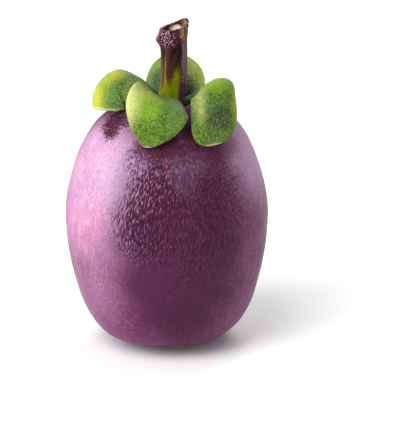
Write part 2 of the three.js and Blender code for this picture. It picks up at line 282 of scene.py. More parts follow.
class Shader:
    """One material under construction. Its base colour starts plain, and is painted over in layers."""

    def __init__(self, name, base):
        self.material = bpy.data.materials.new(name)
        self.material.use_nodes = True
        self.tree = self.material.node_tree
        self.tree.nodes.clear()
        place = self.node("ShaderNodeTexCoord", output="Object")
        self.place = self.vectors("MULTIPLY", place, (1 / MM,) * 3)
        self.base = base

    def node(self, kind, settings=None, inputs=None, output=0):
        """Adds a node: its settings are set first, then the values or links of its sockets."""
        made = self.tree.nodes.new(kind)
        for key, value in (settings or {}).items():
            setattr(made, key, value)
        for key, value in (inputs or {}).items():
            if isinstance(value, Field):
                self.tree.links.new(value.socket, made.inputs[key])
            else:
                made.inputs[key].default_value = value
        return Field(self, made.outputs[output]) if made.outputs else made

    @staticmethod
    def opaque(colour):
        """A plain colour with its alpha, or a colour field as it is."""
        return colour if isinstance(colour, Field) else (*colour, 1.0)

    def numbers(self, operation, *values):
        """One step of arithmetic on numbers."""
        return self.node("ShaderNodeMath", {"operation": operation}, dict(enumerate(values)))

    def vectors(self, operation, *values, output=0):
        """One step of arithmetic on vectors."""
        return self.node("ShaderNodeVectorMath", {"operation": operation}, dict(enumerate(values)), output)

    def part(self, axis):
        """One coordinate of the place on the object, in mm."""
        return self.node("ShaderNodeSeparateXYZ", None, {0: self.place}, output=axis)

    def field(self, name):
        """A value stored on the mesh."""
        return self.node("ShaderNodeAttribute", {"attribute_name": name}, output="Fac")

    def texture(self, vector, size, detail):
        """Noise between 0 and 1 along a vector in mm, with features of the given size in mm."""
        return self.node("ShaderNodeTexNoise", None, {"Vector": vector, "Scale": 1 / size, "Detail": detail})

    def noise(self, size, detail=2.0, upright=1.0, shift=0.0):
        """Noise of the given size in mm, drawn out along the height where upright is below 1."""
        moved = self.vectors("MULTIPLY_ADD", self.place, (1.0, 1.0, upright), (shift,) * 3)
        return self.texture(moved, size, detail)

    def slanted(self, size, slope, narrow):
        """Noise between 0 and 1 drawn out into dashes that lean off the vertical by the given slope."""
        across = self.vectors("MULTIPLY", self.place, (1.0, 1.0, 0.0))
        height = self.part("Z")
        lean = {0: height * slope, 1: height * (slope / 2), 2: height * narrow}
        along = self.node("ShaderNodeCombineXYZ", None, lean)
        return self.texture(self.vectors("ADD", across, along), size, 3.0)

    def cells(self, size):
        """Distance from the middle of random cells of the given size in mm."""
        return self.node("ShaderNodeTexVoronoi", None, {"Vector": self.place, "Scale": 1 / size})

    def step(self, value, low, high):
        """A smooth step from 0 at low to 1 at high."""
        return self.node(
            "ShaderNodeMapRange",
            {"interpolation_type": "SMOOTHSTEP"},
            {"Value": value, "From Min": low, "From Max": high},
        )

    def widest(self, *masks):
        """The larger of several masks at each place."""
        largest = masks[0]
        for mask in masks[1:]:
            largest = self.numbers("MAXIMUM", largest, mask)
        return largest

    def mask(self, *patches):
        """The larger of several patches at each place."""
        return self.widest(*(self.patch(patch) for patch in patches))

    def patch(self, patch):
        """A patch as a mask: 0 outside it, and as large as its weight inside."""
        away = self.vectors("SUBTRACT", self.place, patch.centre)
        share = self.vectors("MULTIPLY", away, tuple(1 / width for width in patch.size))
        distance = self.vectors("LENGTH", share, output="Value")
        uneven = self.noise(patch.grain, 4.0, shift=sum(patch.centre)) - 0.5
        inside = 1 - self.step(distance + uneven * patch.wobble * 2, 1 - patch.edge, 1 + patch.edge)
        return inside if patch.weight == 1.0 else inside * patch.weight

    def mix(self, factor, first, second):
        """Blends two colours."""
        colours = {6: self.opaque(first), 7: self.opaque(second)}
        return self.node("ShaderNodeMix", {"data_type": "RGBA"}, {0: factor, **colours}, output=2)

    def paint(self, cover, colour):
        """Lays a colour over the base colour, which it hides where cover is 1 and leaves where it is 0."""
        self.base = self.mix(cover, self.base, colour)

    def paint_layers(self, layers):
        for layer in layers:
            self.paint(self.mask(*layer.patches) * layer.cover, layer.colour)

    def bump(self, height, depth, normal=None):
        """Turns a height field into a normal; depth is in mm."""
        inputs = {"Height": height, "Distance": depth * MM, "Strength": 1.0}
        if normal is not None:
            inputs["Normal"] = normal
        return self.node("ShaderNodeBump", None, inputs)

    def finish(self, roughness, normal, constants=None):
        """Ends the material with one principled shader; constants are set on its own sockets."""
        inputs = {"Base Color": self.opaque(self.base), "Roughness": roughness, "Normal": normal}
        surface = self.node("ShaderNodeBsdfPrincipled", None, {**inputs, **(constants or {})})
        self.node("ShaderNodeOutputMaterial", None, {"Surface": surface})
        return self.material


# ---- Fruit ----

# The fruit's profile: where it is widest, and for each half how square it is across and along its height.
FRUIT_WIDEST_SHARE = 0.533
LOWER_SHAPE = (5.2, 1.5)
UPPER_SHAPE = (4.0, 1.25)
WIDEST_ROUNDING = 4.0
PROFILE_SAMPLES = 4000
# Slow bulges round the fruit: count, height in mm, start in degrees.
FRUIT_BULGES = ((2, 0.22, 40), (3, 0.16, 155), (5, 0.07, 20))
# Soft dents in the rind: depth and size in mm, octaves and how upright. Only relief below the bias sinks in.
FRUIT_DENTS = ((0.16, 11.0), (0.05, 3.2, 2, 0.55))
DENT_BIAS = 0.6
FRUIT_NORMAL_RISE = 0.4
SKIN_INSET = 0.12
# The underside sinks in round the rosette: inner and outer radius, and depth.
ROSETTE_SEAT = (9.2, 11.2, 0.3)
FRUIT_GRID = (400, 236)

# Waxy bloom. On the left flank, low on the left and on the right shoulder it is also painted sheen where the
# light falls.
SHEEN_AND_BLOOM_LEFT = Patch((-23.5, -15.0, 53.0), (13.0, 14.0, 23.0), 0.45, 0.2, 7.0)
SHEEN_AND_BLOOM_RIGHT = Patch((23.5, -5.0, 58.5), (6.5, 13.0, 12.0), 0.85, 0.4, 5.0)
BLOOM_FAR = Patch((-12.0, 27.0, 40.0), (13.0, 15.0, 18.0), 0.5, 0.35, 6.0, 0.7)
SHEEN_AND_BLOOM_LOW = Patch((-24.0, -15.0, 24.0), (8.5, 13.0, 17.0), 0.6, 0.25, 7.0, 0.2)
HAZE = Patch((-11.5, -23.0, 56.5), (7.0, 9.0, 11.5), 0.55, 0.2, 6.0)
WARM_SPOT = Patch((-23.5, -18.0, 38.5), (5.0, 7.0, 6.0), 0.5, 0.4, 2.0)
# The bluish haze low on the front, and the rosy left flank.
SOFT_HAZES = (
    Layer((0.40, 0.21, 0.34), 0.5, (
        Patch((-14.5, -23.5, 37.0), (5.5, 8.0, 8.0), 0.7, 0.2, 4.0),
        Patch((-15.5, -21.0, 28.0), (7.0, 10.0, 13.0), 0.7, 0.2, 4.0, 0.5),
    )),
    Layer((0.42, 0.12, 0.33), 0.4, (
        Patch((-29.5, -5.0, 42.0), (3.2, 12.0, 14.0), 0.8, 0.2, 5.0),
    )),
)
# Dark plum low on the front and towards the right: partly the rind's own colour, partly painted shade.
DUSKY_FRONT_AND_SHADE = Layer((0.052, 0.008, 0.033), 0.85, (
    Patch((4.5, -27.0, 33.0), (18.0, 17.0, 32.0), 0.4, 0.2, 7.0),
))
# The front is pitted from under the front sepal down and to the right, and the back in two places.
PITTED_FIELDS = (
    Patch((1.8, -24.5, 58.0), (7.0, 9.0, 7.5), 0.6, 0.25, 3.0),
    Patch((-6.0, -22.5, 60.0), (5.5, 8.0, 6.0), 0.7, 0.25, 3.0, 0.5),
    Patch((-1.8, -27.0, 50.5), (8.0, 10.0, 9.5), 0.6, 0.25, 3.0),
    Patch((-4.4, -28.0, 42.5), (9.0, 10.0, 9.5), 0.6, 0.25, 3.0),
    Patch((11.0, -26.0, 47.0), (14.0, 14.0, 19.0), 0.8, 0.2, 4.0, 0.6),
    Patch((15.0, 25.0, 44.0), (12.0, 13.0, 19.0), 0.9, 0.3, 6.0, 0.8),
    Patch((-27.0, 14.0, 55.0), (9.0, 10.0, 12.0), 0.9, 0.3, 6.0, 0.6),
)
SMOOTH_SHOULDER = Patch((5.5, -23.0, 60.0), (5.0, 7.0, 7.5), 0.5, 0.3, 3.0)
DULL_CORE = Patch((0.0, -28.5, 38.0), (10.5, 12.0, 12.0), 0.5, 0.2, 4.0, 0.6)
RUSTY_SPOT = Patch((-5.0, -27.5, 51.0), (1.8, 3.0, 5.0), 0.6, 0.4, 1.2)
SANDY_SPOT = Patch((1.2, -24.8, 58.0), (2.6, 4.0, 4.5), 0.5, 0.3, 1.5)
# Painted shade on the skin below the front sepal, between it and the right one, and below the right one.
SEPAL_SHADES = (
    Patch((-0.5, -21.5, 63.0), (7.5, 6.0, 2.8), 0.4, 0.5, 1.5, 0.85),
    Patch((8.0, -18.0, 64.5), (3.0, 6.0, 4.0), 0.4, 0.4, 1.5, 0.8),
    Patch((14.5, -18.5, 62.2), (8.0, 8.0, 3.4), 0.5, 0.4, 3.0, 0.55),
)
# The granular blotch below the left sepal.
BLOTCH = (
    Patch((-14.6, -9.5, 67.8), (4.8, 5.0, 3.4), 0.7, 0.4, 1.0),
    Patch((-15.2, -12.3, 66.0), (2.8, 3.8, 3.0), 0.7, 0.4, 1.0),
    Patch((-11.8, -12.0, 68.4), (3.4, 4.0, 1.5), 0.5, 0.4, 1.0, 0.7),
)
RIND_COLOURS = SimpleNamespace(
    mottled=(0.075, 0.014, 0.050),
    low_bloom_and_sheen=(0.44, 0.19, 0.33),
    pink_band=(0.56, 0.26, 0.38),
    violet_mottle=(0.36, 0.22, 0.43),
    dark_streak=(0.42, 0.20, 0.40),
    pale_streak=(0.72, 0.48, 0.63),
    lavender_sheen=(0.41, 0.27, 0.44),
    haze=(0.46, 0.31, 0.48),
    coral=(0.72, 0.22, 0.22),
    dark_hatching=(0.12, 0.03, 0.09),
    pale_hatching=(0.48, 0.27, 0.42),
    dim_ridge=(0.38, 0.15, 0.28),
    lit_ridge=(0.56, 0.36, 0.55),
    rust=(0.38, 0.13, 0.13),
    sand=(0.32, 0.18, 0.17),
    dark_shoulder=(0.075, 0.026, 0.062),
    pale_shoulder=(0.20, 0.13, 0.20),
    shade=(0.050, 0.006, 0.022),
    red_shade=(0.085, 0.012, 0.014),
    blotch=(0.028, 0.001, 0.008),
    bead=(0.30, 0.12, 0.20),
)


def fruit_radius(height, radius, bottom, top):
    """The fruit's radius at each height, from its power-law profile."""
    widest = bottom + FRUIT_WIDEST_SHARE * (top - bottom)
    values = np.zeros_like(height)
    halves = ((False, LOWER_SHAPE, widest - bottom), (True, UPPER_SHAPE, top - widest))
    for upper, (radial, axial), reach in halves:
        away = np.hypot(height - widest, WIDEST_ROUNDING) ** axial - WIDEST_ROUNDING**axial
        full = np.hypot(reach, WIDEST_ROUNDING) ** axial - WIDEST_ROUNDING**axial
        half = radius * rise(1 - away / full, 1 / radial)
        values = np.where((height > widest) == upper, half, values)
    return values


def fruit_profile(radius, bottom, top, steps):
    """Points along the profile with even spacing, as radius and height."""
    share = (1 - np.cos(np.linspace(0.0, math.pi, PROFILE_SAMPLES))) / 2
    height = bottom + (top - bottom) * share
    outline = fruit_radius(height, radius, bottom, top)
    walked = np.concatenate([[0], np.cumsum(np.hypot(np.diff(outline), np.diff(height)))])
    places = np.linspace(0, walked[-1], steps + 1)[1:-1]
    return np.interp(places, walked, outline), np.interp(places, walked, height)


def fruit_points(radius, bottom, top):
    """The rind's grid of points, with slow bulges, a seat for the rosette and soft dents."""
    sides, rings = FRUIT_GRID
    middle = (bottom + top) / 2
    profile, height = fruit_profile(radius, bottom, top, rings + 1)
    inner, outer, lift = ROSETTE_SEAT
    seat = lift * (1 - ramp(profile, inner, outer)) * (height < middle)
    angle = circle(sides)
    bulge = sum(size * np.cos(count * (angle - math.radians(start))) for count, size, start in FRUIT_BULGES)
    full = profile[:, None] + bulge[None] * profile[:, None] / radius
    level = np.repeat((height + seat)[:, None], sides, axis=1)
    grid = np.stack([full * np.cos(angle), full * np.sin(angle), level], axis=-1)
    dents = sum(depth * (relief(grid, *shape) - DENT_BIAS) for depth, *shape in FRUIT_DENTS)
    outward = unit(
        np.stack([grid[..., 0], grid[..., 1], FRUIT_NORMAL_RISE * (grid[..., 2] - middle)], axis=-1)
    )
    return grid + outward * (np.minimum(dents, 0.0) - SKIN_INSET)[..., None]


def paint_bloom_and_sheen(shader, bloom, mottle, bands, streaks):
    """The waxy bloom with its bands and upright streaks, which on the left flank, low on the left and on the
    right shoulder is also painted sheen, paler higher up. Gives back the mask of the bloom and the painted
    sheen.
    """
    right = shader.patch(SHEEN_AND_BLOOM_RIGHT)
    bloom_and_sheen = shader.widest(shader.patch(SHEEN_AND_BLOOM_LEFT), right * 0.85, shader.mask(BLOOM_FAR, SHEEN_AND_BLOOM_LOW))
    # Painted sheen: the bloom is paler higher up and pinker low down.
    wax_and_sheen = shader.mix(shader.step(shader.part("Z"), 58.0, 36.0), bloom, RIND_COLOURS.low_bloom_and_sheen)
    wax_and_sheen = shader.mix(shader.step(bands, 0.42, 0.62) * 0.7, wax_and_sheen, RIND_COLOURS.pink_band)
    wax_and_sheen = shader.mix(shader.step(mottle, 0.52, 0.42) * 0.35, wax_and_sheen, RIND_COLOURS.violet_mottle)
    shader.paint(bloom_and_sheen * (0.7 + bands * 0.3), wax_and_sheen)
    shader.paint(bloom_and_sheen * shader.step(streaks, 0.52, 0.62) * 0.36, RIND_COLOURS.dark_streak)
    shader.paint(bloom_and_sheen * shader.step(streaks, 0.47, 0.38) * 0.4, RIND_COLOURS.pale_streak)
    # Painted sheen: a lavender tint over the right shoulder.
    shader.paint(right * 0.45, RIND_COLOURS.lavender_sheen)
    return bloom_and_sheen


def paint_pits(shader, pits, streaks, skin):
    """Slanting pits of dark skin between ridges painted with pale glints, lighter on the left where the
    light falls. Gives back the mask of the pitted fields.
    """
    across = shader.part("X")
    shoulder = shader.patch(SMOOTH_SHOULDER)
    pitted = shader.mask(*PITTED_FIELDS) * (1 - shoulder * 0.6)
    # Painted highlight: the ridges get pale glints, fewer towards the right and lighter on the left as if
    # lit from there.
    ridges = pitted * shader.step(pits, 0.5, 0.36) * (1 - shader.patch(DULL_CORE))
    ridges = ridges * (0.6 - shader.step(across, 0.0, 14.0) * 0.4)
    ridge_glint = shader.mix(shader.step(across, 2.0, -11.0), RIND_COLOURS.dim_ridge, RIND_COLOURS.lit_ridge)
    shader.paint(ridges, ridge_glint)
    dark = shader.step(pitted * 0.85 + (pits - 0.5) * 4.2, 0.15, 0.9)
    shader.paint(dark * shader.step(pitted, 0.05, 0.4) * 0.92, skin)
    flecks = shader.step(pits, 0.5, 0.38)
    shader.paint(shader.patch(RUSTY_SPOT) * flecks * 0.4, RIND_COLOURS.rust)
    shader.paint(shader.patch(SANDY_SPOT) * flecks * 0.45, RIND_COLOURS.sand)
    streaked = shader.step(streaks, 0.42, 0.66)
    violet = shader.mix(streaked, RIND_COLOURS.dark_shoulder, RIND_COLOURS.pale_shoulder)
    shader.paint(shoulder * 0.62, violet)
    return pitted


def paint_blotch(shader, pits, grain):
    """The dark blotch, which breaks up into specks at its edge. Gives back its mask."""
    blotch = shader.mask(*BLOTCH)
    specks = shader.step(blotch * 1.1 + (pits - 0.5) * 2.8 + (grain - 0.5) * 2.2, 0.2, 0.95)
    shader.paint(specks * shader.step(blotch, 0.02, 0.35) * 0.97, RIND_COLOURS.blotch)
    beads = shader.step(grain + (pits - 0.5) * 0.4, 0.47, 0.38)
    shader.paint(blotch * beads * 0.2, RIND_COLOURS.bead)
    return blotch


def rind_material(settings):
    """Mauve rind with a waxy bloom that is partly painted sheen, dark fields of slanting pits between ridges
    painted with glints, painted shade below the sepals and low on the front, fine hatching and a granular
    blotch.
    """
    shader = Shader("mangosteen_rind", settings.mauve)
    mottle = shader.noise(8.0, 3.0)
    bands = shader.noise(4.2, 2.0, 0.2, 9.0)
    streaks = shader.noise(0.55, 3.0, 0.12, 3.0)
    grain = shader.noise(0.4, 4.0, 0.7, 5.0)
    hatching = shader.slanted(0.45, 0.7, 0.28) * 0.5 + shader.slanted(0.45, -0.7, 0.28) * 0.5
    pits = shader.slanted(settings.pit_size / MM, -0.24, 0.17)
    redder = shader.step(shader.noise(2.6, 4.0, 0.35, 17.0), 0.5, 0.68)

    shader.paint(shader.step(mottle, 0.4, 0.75) * 0.5, RIND_COLOURS.mottled)
    bloom_and_sheen = paint_bloom_and_sheen(shader, settings.bloom, mottle, bands, streaks)
    shader.paint(shader.patch(HAZE) * (0.34 + bands * 0.3), RIND_COLOURS.haze)
    shader.paint_layers(SOFT_HAZES)
    shader.paint(shader.patch(WARM_SPOT) * shader.step(grain, 0.48, 0.62) * 0.4, RIND_COLOURS.coral)
    shader.paint(shader.step(hatching, 0.5, 0.62) * 0.36, RIND_COLOURS.dark_hatching)
    shader.paint(shader.step(hatching, 0.5, 0.38) * 0.26, RIND_COLOURS.pale_hatching)
    # Painted shade, with the rind's own dark plum, low on the front.
    shader.paint_layers((DUSKY_FRONT_AND_SHADE,))
    pitted = paint_pits(shader, pits, streaks, shader.mix(redder * 0.8, settings.plum, settings.maroon))
    # Painted shade below the front and right sepals.
    shader.paint(shader.mask(*SEPAL_SHADES), shader.mix(redder, RIND_COLOURS.shade, RIND_COLOURS.red_shade))
    blotch = paint_blotch(shader, pits, grain)

    roughness = 0.38 + bloom_and_sheen * 0.1 + blotch * 0.25 + (grain - 0.5) * 0.2
    coarse = shader.bump((1 - pits) * (0.12 + pitted * 0.88), 0.6)
    fine = shader.bump(hatching * 0.6 + grain * 0.4, 0.06, coarse)
    return shader.finish(roughness, fine, {"Specular IOR Level": 0.08})


# ---- Stigma rosette ----

ROSETTE_LOBE_SIDES = 28
ROSETTE_INSET = 0.05
CLEFT_POWER = 0.6
GROOVE_SHARE = 0.18
GROOVES_ABOVE = 0.9
# Cross section as shares of the radius and of the thickness: flat below, round at the edge and flat above.
ROSETTE_SECTION = (
    *((share, 0.0) for share in np.linspace(0.1, 0.95, 9)),
    (1.0, 0.3),
    (0.995, 0.6),
    (0.97, 0.85),
    *((share, 0.97) for share in np.linspace(0.92, 0.08, 12)),
)


def rosette_points(lobes, radius, notch, thickness):
    """Rounded woody lobes with narrow notches, flat below and gently grooved above."""
    angle = circle(lobes * ROSETTE_LOBE_SIDES)
    cleft = 1 - np.abs(np.sin(lobes * angle / 2)) ** CLEFT_POWER
    outline = radius - ROSETTE_INSET - notch * cleft
    rows = []
    for share, level in ROSETTE_SECTION:
        grooves = GROOVE_SHARE * cleft * (share if level > GROOVES_ABOVE else 0.0)
        x, y = outline * share * np.cos(angle), outline * share * np.sin(angle)
        rows.append(np.stack([x, y, thickness * (level - grooves)], axis=-1))
    return np.array(rows)


def rosette_material(settings):
    """Dry brown wood with darker fibres and paler patches."""
    shader = Shader("mangosteen_rosette", settings.wood)
    fibre = shader.noise(0.5, 4.0, 0.5)
    patches = shader.noise(2.2, 3.0, shift=4.0)
    shader.paint(shader.step(fibre, 0.35, 0.7) * 0.6, (0.05, 0.025, 0.02))
    shader.paint(shader.step(patches, 0.5, 0.7) * 0.4, (0.32, 0.2, 0.12))
    return shader.finish(0.65 + fibre * 0.25, shader.bump(fibre + patches * 0.6, 0.15))


# ---- Stem ----

# The stem leans, and its cut slopes up to the back and the right.
STEM_FOOT = (2.05, 0.0)
STEM_LEAN = 0.3 / 24
CUT_SLOPE = (0.18, 0.07)
# The cut's raised lip: height in mm, direction and width in degrees.
CUT_LIP = (1.3, 35, 45)
# The knob: reach in mm, direction and width in degrees, place below the cut and half height in mm.
KNOB = (1.2, 188, 26, 2.5, 1.7)
# The collar: swelling in mm, and where below the cut it starts and ends to fade.
COLLAR = (0.12, 2.8, 4.8)
# The flared foot: radius in mm, and the heights between which it fades.
FLANGE = (4.5, 2.0, 6.0)
# Ridges along the bark: direction in degrees, height in mm, width in degrees.
STEM_RIDGES = ((246, 0.3, 13), (318, 0.4, 15), (72, 0.3, 16), (150, 0.25, 18))
# Worn streaks in the bark: direction in degrees, strength and width in degrees.
STEM_STREAKS = ((233, 1.0, 5), (203, 0.9, 3), (20, 0.8, 5), (110, 0.8, 4))
BARK_INSET = 0.2
# Fine furrows down the bark and warts on its rough collar: depth and size in mm, octaves and how upright.
FURROWS = (0.10, 1.3, 3, 0.18)
FURROW_SINK = 0.06
WARTS = (0.26, 0.75)
ROUGH_FADE = (2.6, 5.6)
# The rings over the cut. Rim: reach beyond the bark and drop, in mm. Wall: reach beyond the hollow in mm and
# share of its depth. Floor: share of the hollow's radius.
CUT_RIM = ((0.25, -0.12), (-0.15, -0.22), (-0.6, -0.16))
HOLLOW_RADIUS = 2.7
HOLLOW_DEPTH = 2.6
HOLLOW_WALL = ((0.35, 0.0), (0.1, 0.35), (-0.1, 0.6), (-0.5, 0.85))
HOLLOW_FLOOR = (0.7, 0.5, 0.3, 0.12)
CUT_STEP = 0.25
STEM_GRID = (160, 150)
TINY = 1e-6

PURPLE_FOOT = Patch((5.2, -3.0, 74.6), (2.2, 3.2, 3.4), 0.25, 0.3, 1.5, 0.85)
TORN_RIM = Patch((5.2, -1.8, 91.8), (1.5, 3.0, 2.6), 0.4, 0.4, 1.0, 0.85)
KNOB_PATCH = Patch((-3.4, -0.6, 90.2), (1.3, 2.4, 2.0), 0.3, 0.3, 1.0, 0.9)
PITH = Patch((3.3, 2.3, 91.7), (2.1, 2.6, 1.3), 0.35, 0.4, 1.0)
BARK_COLOURS = SimpleNamespace(
    fibre=(0.045, 0.014, 0.014),
    lower=(0.070, 0.020, 0.012),
    dark_ridge=(0.06, 0.022, 0.015),
    grey_ridge=(0.24, 0.145, 0.16),
    left_side=(0.12, 0.085, 0.014),
    pore=(0.02, 0.01, 0.008),
    wrinkle=(0.095, 0.030, 0.026),
    deep_olive=(0.150, 0.190, 0.003),
    edge_olive=(0.24, 0.26, 0.012),
    dark_olive=(0.10, 0.13, 0.004),
    olive_streak=(0.20, 0.13, 0.02),
    purple=(0.07, 0.018, 0.03),
    crust=(0.045, 0.009, 0.018),
    crust_speck=(0.62, 0.36, 0.47),
    torn_wood=(0.36, 0.20, 0.10),
    knob_shade=(0.07, 0.06, 0.015),
    knob_wood=(0.42, 0.30, 0.11),
    hollow=(0.035, 0.01, 0.012),
    right_wall=(0.32, 0.15, 0.07),
    rot=(0.045, 0.012, 0.010),
    rim=(0.04, 0.01, 0.015),
    rim_speck=(0.60, 0.38, 0.46),
)


def stem_centre(height):
    """Where the leaning axis is across the fruit, at a height."""
    return STEM_FOOT[0] + STEM_LEAN * (height - STEM_LOW[2] / MM)


def stem_top(x, y, degrees, cut_height):
    """Height of the slanted cut at a place, with its raised lip."""
    lip, direction, width = CUT_LIP
    slant = cut_height + CUT_SLOPE[0] * (x - stem_centre(cut_height)) + CUT_SLOPE[1] * y
    return slant + lip * bump_round(degrees, direction, width)


def stem_ring(radius, angle, height):
    """Points round the leaning axis, at the given radius and height in each direction."""
    y = STEM_FOOT[1] + radius * np.sin(angle) + 0 * height
    return np.stack([stem_centre(height) + radius * np.cos(angle), y, height], axis=-1)


def cut_rings(radius):
    """Reach and drop of the rings from the rim of the cut down to the floor of the hollow."""
    rim = [(radius + beyond, drop) for beyond, drop in CUT_RIM]
    wall = [(HOLLOW_RADIUS + beyond, share * HOLLOW_DEPTH) for beyond, share in HOLLOW_WALL]
    floor = [(share * HOLLOW_RADIUS, HOLLOW_DEPTH) for share in HOLLOW_FLOOR]
    return rim + wall + floor


def stem_points(radius, cut_height):
    """The bark from the foot to the cut and down into the hollow end, with fields for its finish."""
    sides, wall_rings = STEM_GRID
    angle = circle(sides)
    degrees = np.degrees(angle)
    foot = STEM_LOW[2] / MM

    def top_at(reach):
        x = stem_centre(cut_height) + reach * np.cos(angle)
        return stem_top(x, reach * np.sin(angle), degrees, cut_height)

    top = top_at(radius)
    ridge = sum(height * bump_round(degrees, centre, width) for centre, height, width in STEM_RIDGES)
    swell, collar_start, collar_end = COLLAR
    flare, flare_start, flare_end = FLANGE
    knob_reach, knob_centre, knob_width, knob_below, knob_tall = KNOB
    rows, cut, crest = [], [], []
    for share in np.linspace(0, 1, wall_rings):
        height = foot + (top - foot) * share
        below = top - height
        flange = (flare - radius) * (1 - ramp(height - foot, flare_start, flare_end))
        collar = swell * (1 - ramp(below, collar_start, collar_end))
        knob = knob_reach * bump_round(degrees, knob_centre, knob_width)
        knob = knob * np.exp(-(((below - knob_below) / knob_tall) ** 2))
        rows.append(stem_ring(radius - BARK_INSET + ridge + flange + collar + knob, angle, height))
        cut.append(np.zeros(sides))
        crest.append(ridge)
    for index, (reach, drop) in enumerate(cut_rings(radius)):
        rows.append(stem_ring(np.full(sides, reach), angle, top_at(reach) - drop))
        cut.append(np.full(sides, min(1.0, CUT_STEP * (index + 1))))
        crest.append(np.zeros(sides))
    grid, cut = np.array(rows), np.array(cut)

    outward = unit(grid - stem_ring(np.zeros(sides), angle, grid[..., 2]) + np.array([0, 0, TINY]))
    rough = 1 - ramp(top[None] - grid[..., 2], *ROUGH_FADE)
    furrows = FURROWS[0] * relief(grid, *FURROWS[1:])
    warts = WARTS[0] * rough * relief(grid, *WARTS[1:])
    moved = (furrows - FURROW_SINK + warts) * (1 - ramp(cut, 0.6, 1.0))
    streak = sum(weight * bump_round(degrees, centre, width) for centre, weight, width in STEM_STREAKS)
    streak = np.repeat(streak[None], len(rows), axis=0)
    fields = {"cut": cut, "ridge": np.array(crest), "rough": rough, "streak": streak}
    return grid + outward * moved[..., None], fields


def paint_bark(shader, tan, fibre):
    """Fibrous bark with worn ridges, tan streaks, pores and wrinkles. Gives back the mask of the streaks."""
    across = shader.part("X")
    low = shader.step(shader.part("Z"), 87.0, 79.0)
    shader.paint(shader.step(fibre, 0.45, 0.7) * 0.5, BARK_COLOURS.fibre)
    shader.paint(low * 0.7, BARK_COLOURS.lower)
    ridged = shader.step(shader.field("ridge") + (fibre - 0.5) * 0.4, 0.12, 0.3)
    worn = shader.mix(shader.step(across, 3.0, 5.0), BARK_COLOURS.dark_ridge, BARK_COLOURS.grey_ridge)
    shader.paint(ridged * 0.75, worn)
    leftward = shader.step(across + (fibre - 0.5) * 3.0, 0.4, -1.2)
    shader.paint(leftward * low * 0.75, BARK_COLOURS.left_side)
    broken = shader.noise(1.6, 3.0, 0.5, 21.0)
    streaked = shader.step(shader.field("streak") + (fibre - 0.5) * 0.7 + (broken - 0.5) * 1.6, 0.35, 0.85)
    shader.paint(streaked * (0.12 + low * 0.78), tan)
    pores = shader.noise(0.35, 2.0, shift=12.0)
    shader.paint(shader.step(pores, 0.56, 0.64) * ridged, BARK_COLOURS.pore)
    wrinkles = shader.noise(1.4, 3.0, 3.2, 30.0)
    shader.paint(shader.step(wrinkles, 0.5, 0.66) * 0.35, BARK_COLOURS.wrinkle)
    return streaked


def paint_green_foot(shader, olive, fibre, mottle, streaked):
    """Olive skin at the foot with a torn upper edge, and a purple scar at its right."""
    across = shader.part("X")
    upper_edge = shader.part("Z") + (mottle - 0.5) * 4.0 + (fibre - 0.5) * 5.0 - across * 0.95
    right_edge = across + fibre - 0.5
    green = 1 - shader.widest(shader.step(upper_edge, 75.2, 79.2), shader.step(right_edge, 3.4, 4.6))
    skin = shader.mix(shader.step(across, -2.2, 1.6), olive, BARK_COLOURS.deep_olive)
    skin = shader.mix(shader.step(across, 1.8, 3.6) * 0.7, skin, BARK_COLOURS.edge_olive)
    skin = shader.mix(shader.step(mottle, 0.4, 0.65) * 0.4, skin, BARK_COLOURS.dark_olive)
    shader.paint(green * 0.95, skin)
    shader.paint(green * streaked * 0.5, BARK_COLOURS.olive_streak)
    shader.paint(shader.patch(PURPLE_FOOT), BARK_COLOURS.purple)


def paint_collar(shader, rough, fibre, mottle, specks):
    """The rough collar, speckled more towards the left, with torn wood at its right and the worn tan knob,
    painted in shade below its top.
    """
    speckled = shader.step(specks + (fibre - 0.5) * 0.5, 0.5, 0.2)
    towards_left = 1 - shader.step(shader.part("X") + (mottle - 0.5) * 3.0, 0.6, 4.0) * 0.9
    crust = shader.mix(speckled * towards_left, BARK_COLOURS.crust, BARK_COLOURS.crust_speck)
    shader.paint(rough * 0.9, crust)
    shader.paint(shader.patch(TORN_RIM) * shader.step(fibre, 0.62, 0.46), BARK_COLOURS.torn_wood)
    # Painted shade: the knob shows its tan wood on top and is dark below it, as if lit from above.
    upper = shader.step(shader.part("Z") + (fibre - 0.5) * 2.0, 89.8, 90.8)
    shader.paint(shader.patch(KNOB_PATCH), shader.mix(upper, BARK_COLOURS.knob_shade, BARK_COLOURS.knob_wood))


def paint_cut(shader, cream, fibre, mottle, specks):
    """The speckled rim of the cut, and the dark hollow with its rot and pale pith."""
    grain = shader.noise(0.5, 3.0, shift=8.0)
    rightward = shader.step(shader.part("X") - shader.part("Y") * 0.2, 3.2, 5.4)
    inside = shader.mix(rightward, BARK_COLOURS.hollow, BARK_COLOURS.right_wall)
    inside = shader.mix(shader.step(mottle + fibre - 0.5, 0.48, 0.62) * 0.7, inside, BARK_COLOURS.rot)
    inside = shader.mix(shader.patch(PITH) * (0.6 + grain * 0.4), inside, cream)
    rim = shader.mix(shader.step(specks, 0.52, 0.22), BARK_COLOURS.rim, BARK_COLOURS.rim_speck)
    cut = shader.field("cut")
    shader.paint(shader.step(cut, 0.2, 0.5), rim)
    shader.paint(shader.step(cut, 0.7, 1.0), inside)


